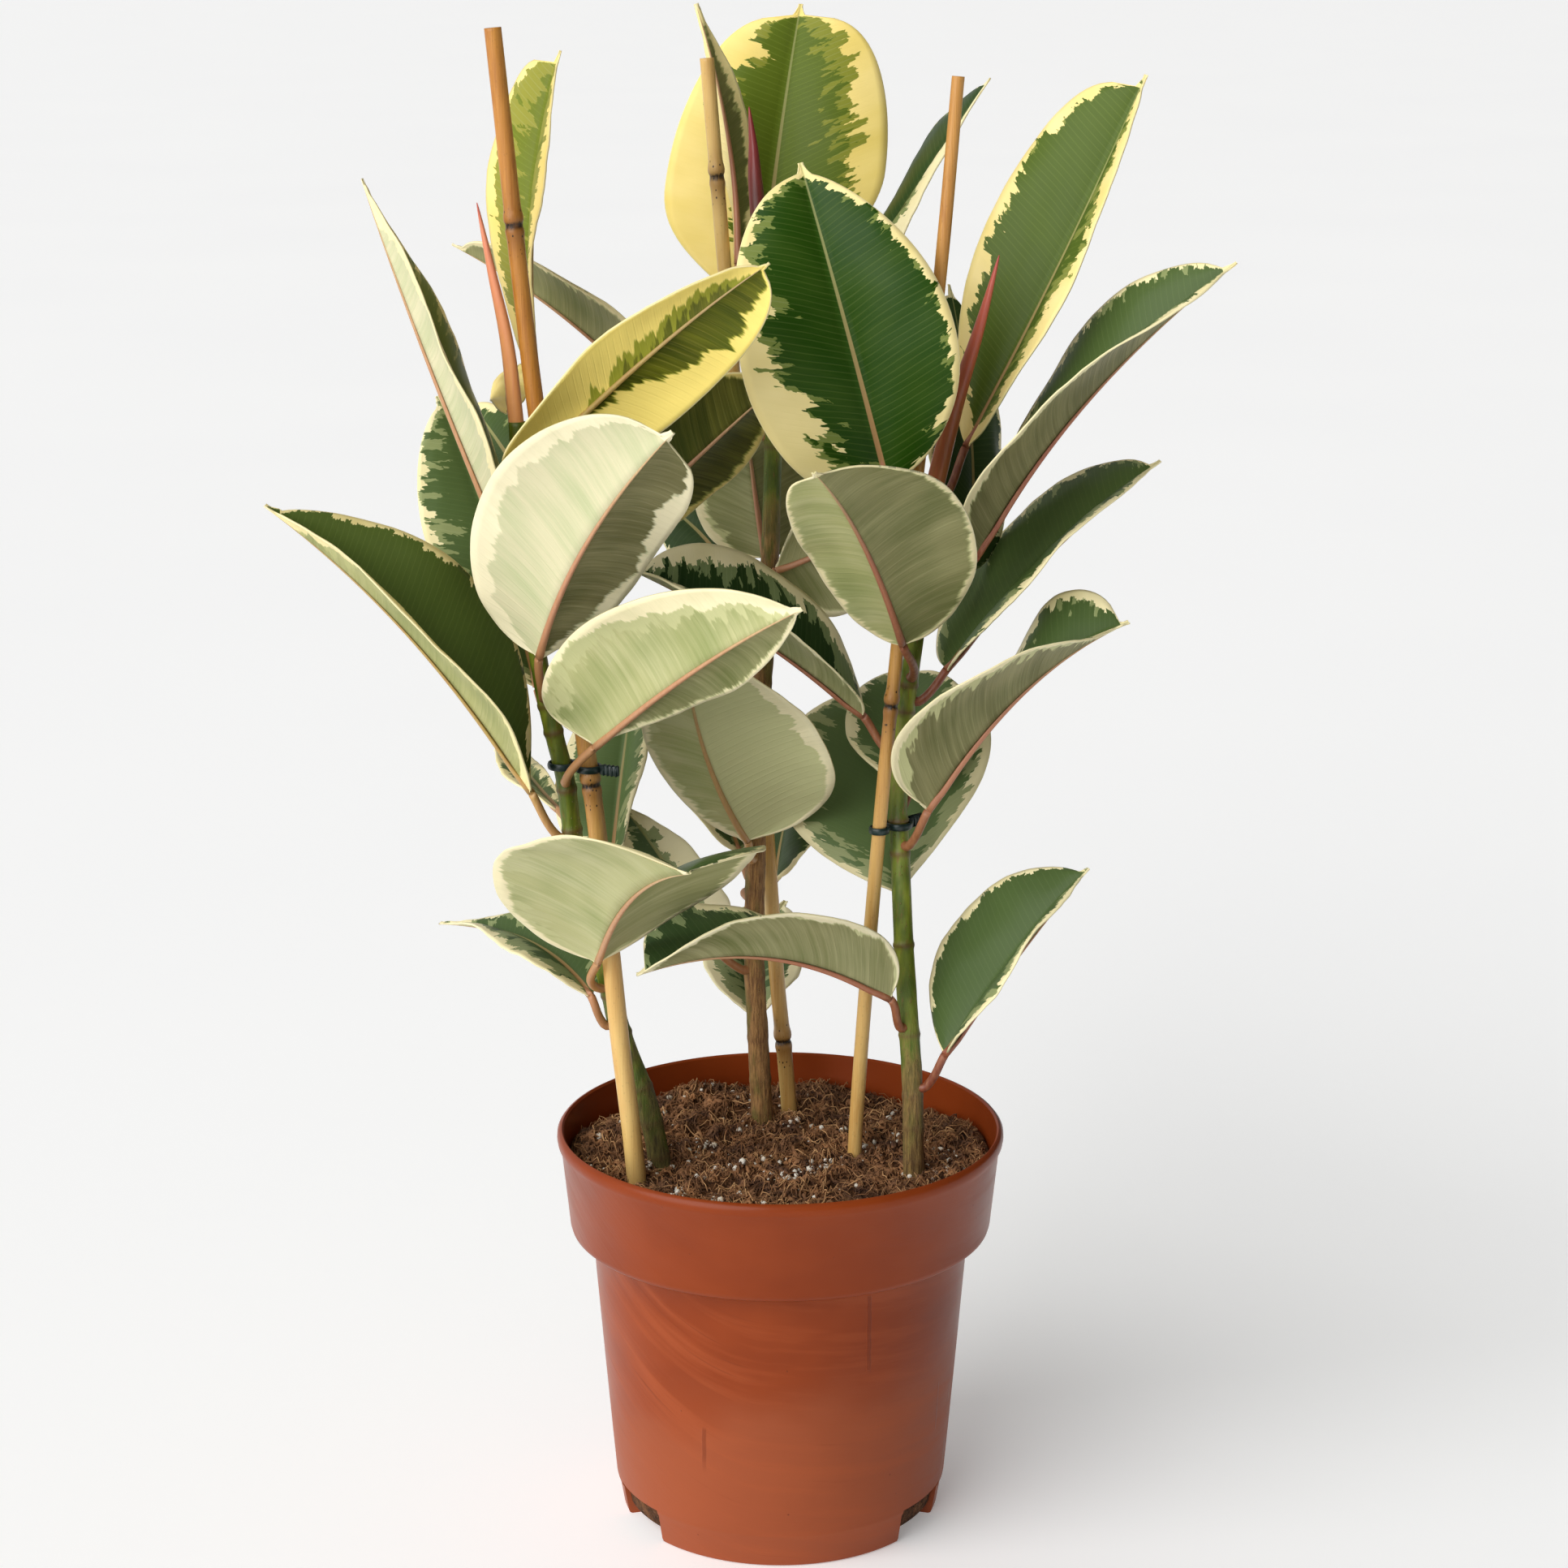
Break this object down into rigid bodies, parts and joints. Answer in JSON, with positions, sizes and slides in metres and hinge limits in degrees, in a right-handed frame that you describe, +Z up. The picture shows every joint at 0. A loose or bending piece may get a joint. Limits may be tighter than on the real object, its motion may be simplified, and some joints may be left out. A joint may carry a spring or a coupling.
{
  "type": "potted rubber plant",
  "caption": "Variegated rubber plant with broad cream-edged leaves on upright stems, clipped to bamboo canes in a terracotta-coloured nursery pot.",
  "frame": {"origin": "middle of the pot's flat underside", "axes": "+Z up along the pot's axis, front towards -Y, +X to the right of someone facing the front"},
  "size_m": [0.4856, 0.3254, 0.8023],
  "materials": {
    "pot": "satin terracotta-coloured moulded plastic",
    "soil": "loose brown peat and coir",
    "stem": "living green and brown bark",
    "cane": "dry straw-coloured bamboo",
    "sheath": "smooth orange-red bud sheath",
    "leaf": "waxy green leaf with cream margins",
    "tie": "dark green moulded plastic"
  },
  "bodies": {
    "root": {"pot": "pot", "soil": "soil", "stem_left": "stem", "cane_left": "cane", "sheath_left": "sheath", "leaf_left_01": "leaf", "leaf_left_02": "leaf", "leaf_left_03": "leaf", "leaf_left_04": "leaf", "leaf_left_05": "leaf", "leaf_left_06": "leaf", "leaf_left_07": "leaf", "leaf_left_08": "leaf", "leaf_left_09": "leaf", "leaf_left_10": "leaf", "leaf_left_11": "leaf", "leaf_left_12": "leaf", "leaf_left_13": "leaf", "leaf_left_14": "leaf", "stem_middle": "stem", "cane_middle": "cane", "sheath_middle": "sheath", "leaf_middle_01": "leaf", "leaf_middle_02": "leaf", "leaf_middle_03": "leaf", "leaf_middle_04": "leaf", "leaf_middle_05": "leaf", "leaf_middle_06": "leaf", "leaf_middle_07": "leaf", "leaf_middle_08": "leaf", "leaf_middle_09": "leaf", "leaf_middle_10": "leaf", "leaf_middle_11": "leaf", "leaf_middle_12": "leaf", "stem_right": "stem", "cane_right": "cane", "sheath_right": "sheath", "leaf_right_01": "leaf", "leaf_right_02": "leaf", "leaf_right_03": "leaf", "leaf_right_04": "leaf", "leaf_right_05": "leaf", "leaf_right_06": "leaf", "leaf_right_07": "leaf", "leaf_right_08": "leaf", "leaf_right_09": "leaf", "leaf_right_10": "leaf", "leaf_right_11": "leaf", "leaf_right_12": "leaf", "tie_left": "tie", "tie_right": "tie"}
  },
  "joints": []
}
